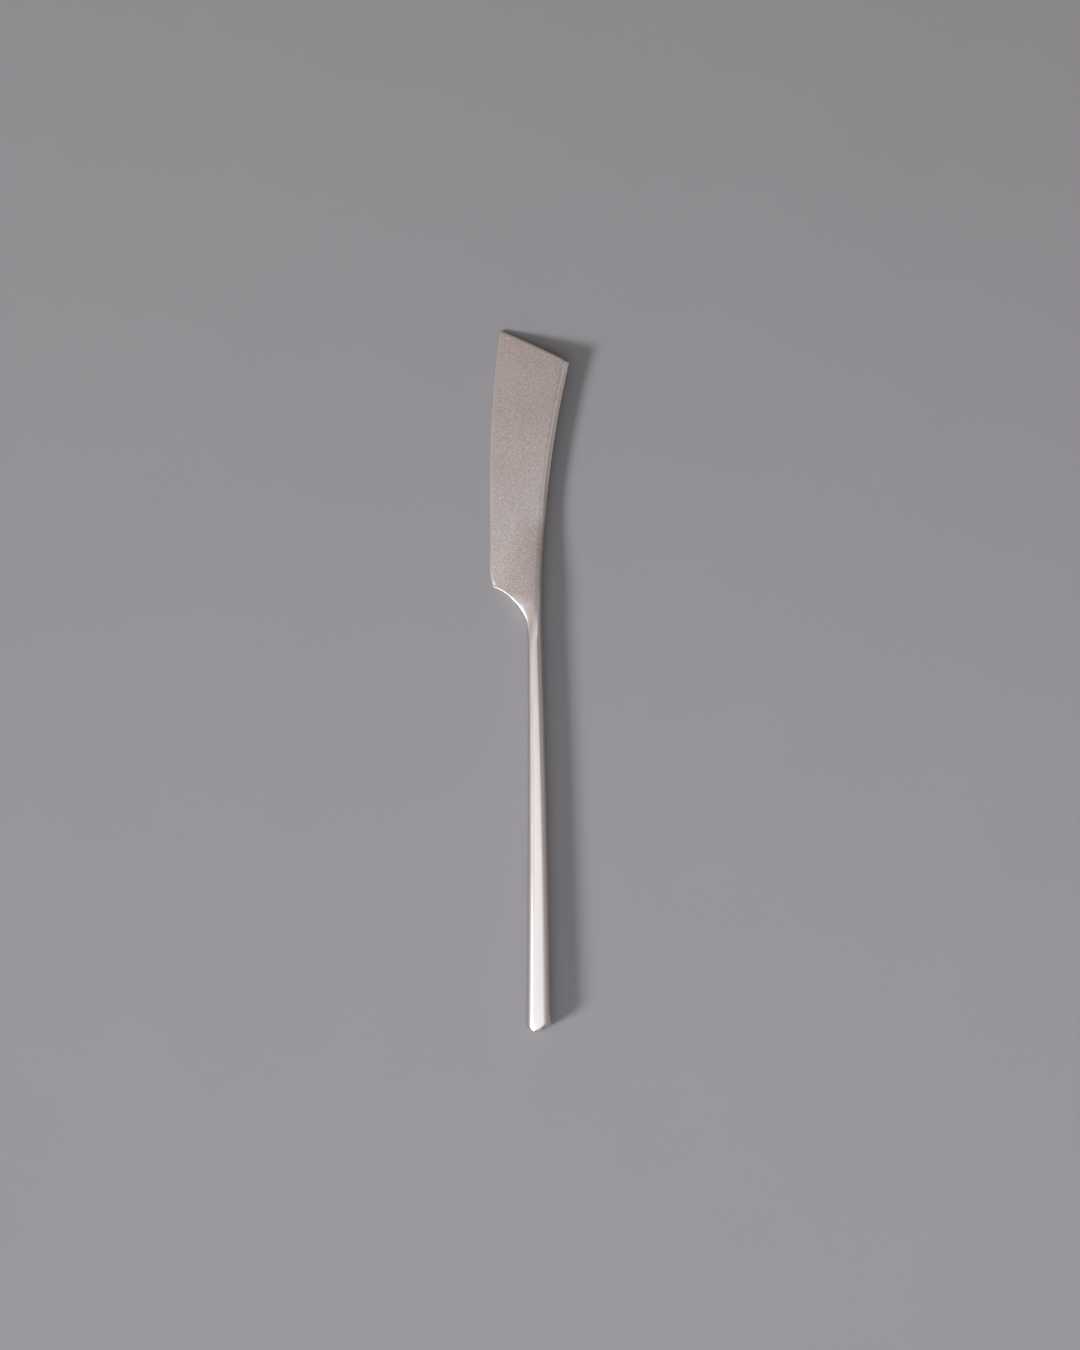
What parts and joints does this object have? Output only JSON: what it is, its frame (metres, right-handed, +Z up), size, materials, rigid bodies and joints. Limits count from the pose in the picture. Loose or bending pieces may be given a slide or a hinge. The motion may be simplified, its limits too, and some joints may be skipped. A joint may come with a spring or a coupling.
{
  "type": "table knife",
  "caption": "Steel table knife with a broad flat blade, slanted straight tip and bowed spine, a concave choil behind the heel and a slim tapering hollow handle with a rounded butt.",
  "frame": {"origin": "centre of the bounding box seen from above, on the surface that the knife lies on", "axes": "+Y from the butt to the tip, +X from the cutting edge to the spine, +Z up from the surface that the knife lies on"},
  "size_m": [0.0258, 0.23, 0.0082],
  "materials": {
    "blade_steel": "satin bead-blasted stainless steel with a faint warm cast",
    "handle_steel": "satin stainless steel, a little smoother than the blade",
    "braze_metal": "silver braze ground flush with the steel",
    "cement": "matt mineral-filled cement, hidden inside the handle"
  },
  "bodies": {
    "root": {"blade": "blade_steel", "handle_shell_upper": "handle_steel", "handle_shell_lower": "handle_steel", "handle_seam_braze": "braze_metal", "mouth_braze_ring": "braze_metal", "handle_cement": "cement"}
  },
  "joints": []
}
